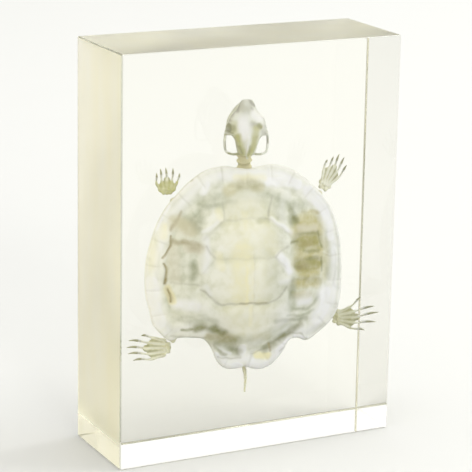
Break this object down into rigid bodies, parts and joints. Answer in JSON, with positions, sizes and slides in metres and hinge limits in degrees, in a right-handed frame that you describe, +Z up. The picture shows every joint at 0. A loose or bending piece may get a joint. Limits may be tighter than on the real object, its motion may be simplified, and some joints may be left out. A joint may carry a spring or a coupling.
{
  "type": "turtle skeleton in acrylic block",
  "caption": "Upright clear acrylic block with a young turtle's whole dry skeleton sealed inside, back to the front, head up and limbs spread; stands on its flat bottom face.",
  "frame": {"origin": "middle of the block's bottom face", "axes": "+Z up the block's height, front face toward -Y, +X to the right of someone facing the front"},
  "size_m": [0.11, 0.039, 0.15],
  "materials": {
    "clear_resin": "polished clear",
    "bone": "matte dry bone",
    "yellow_bone": "matte dry bone with yellowed tissue",
    "neck_bone": "matte dry bone with brown tissue"
  },
  "bodies": {
    "root": {"acrylic_block_front": "clear_resin", "acrylic_block_back": "clear_resin", "carapace": "bone", "plastron": "bone", "skull": "bone", "lower_jaw": "bone", "neck": "neck_bone", "tail": "yellow_bone", "pelvis": "bone", "left_shoulder_girdle": "bone", "left_upper_arm": "bone", "left_forearm": "yellow_bone", "left_hand": "yellow_bone", "left_thigh": "bone", "left_shin": "yellow_bone", "left_foot": "yellow_bone", "right_shoulder_girdle": "bone", "right_upper_arm": "bone", "right_forearm": "yellow_bone", "right_hand": "yellow_bone", "right_thigh": "bone", "right_shin": "yellow_bone", "right_foot": "yellow_bone"}
  },
  "joints": []
}
